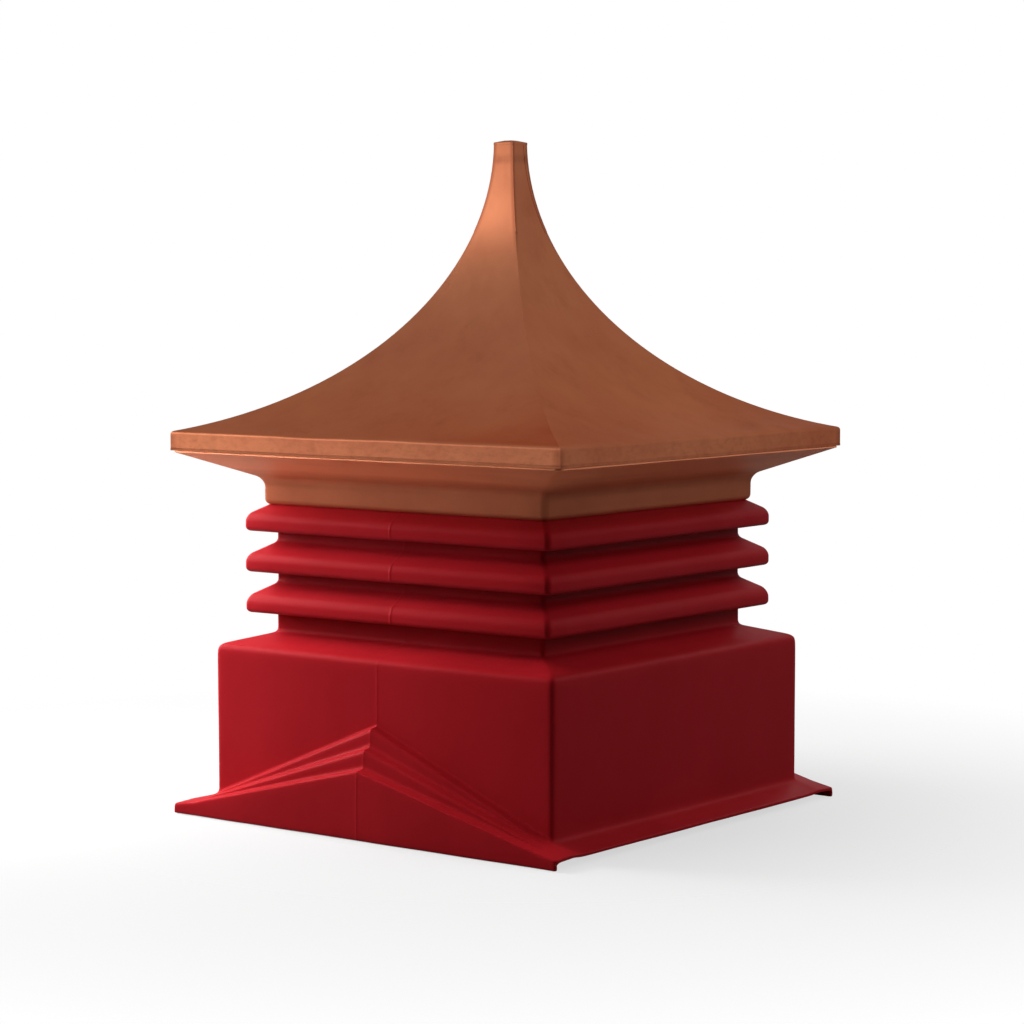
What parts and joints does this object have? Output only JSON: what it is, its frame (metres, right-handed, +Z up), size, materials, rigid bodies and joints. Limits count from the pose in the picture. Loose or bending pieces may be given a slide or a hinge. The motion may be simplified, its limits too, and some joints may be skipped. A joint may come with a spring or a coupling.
{
  "type": "roof cupola",
  "caption": "Square ventilation cupola for a gabled roof: moulded base with pitched gable steps, louvred neck, and a flared hipped roof of sheet copper with a boxed fascia.",
  "frame": {"origin": "on the ground, under the middle of the base", "axes": "+Z up through the roof's top; the two gable sides, with the pitch steps, face -Y and +Y, and the two eave sides face -X and +X, so the ridge it straddles runs along Y"},
  "size_m": [0.5256, 0.5256, 0.7315],
  "materials": {
    "red_plastic": "satin moulded skin",
    "copper_plastic": "satin, copper-coloured",
    "copper_sheet": "satin rolled copper, lightly stained"
  },
  "bodies": {
    "root": {"wall_front": "red_plastic", "wall_back": "red_plastic", "wall_left": "red_plastic", "wall_right": "red_plastic", "flange_left": "red_plastic", "flange_right": "red_plastic", "step_upper_front": "red_plastic", "step_middle_front": "red_plastic", "skirt_front": "red_plastic", "step_upper_back": "red_plastic", "step_middle_back": "red_plastic", "skirt_back": "red_plastic", "shoulder": "red_plastic", "neck_lower": "red_plastic", "louvre_lower": "red_plastic", "neck_middle": "red_plastic", "louvre_middle": "red_plastic", "neck_upper": "red_plastic", "louvre_upper": "red_plastic", "roof_spigot": "red_plastic", "collar": "copper_plastic", "soffit": "copper_plastic", "roof_front": "copper_sheet", "roof_back": "copper_sheet", "roof_left": "copper_sheet", "roof_right": "copper_sheet", "hip_seam_front_left": "copper_sheet", "hip_seam_front_right": "copper_sheet", "hip_seam_back_left": "copper_sheet", "hip_seam_back_right": "copper_sheet", "top_fold": "copper_sheet"}
  },
  "joints": []
}
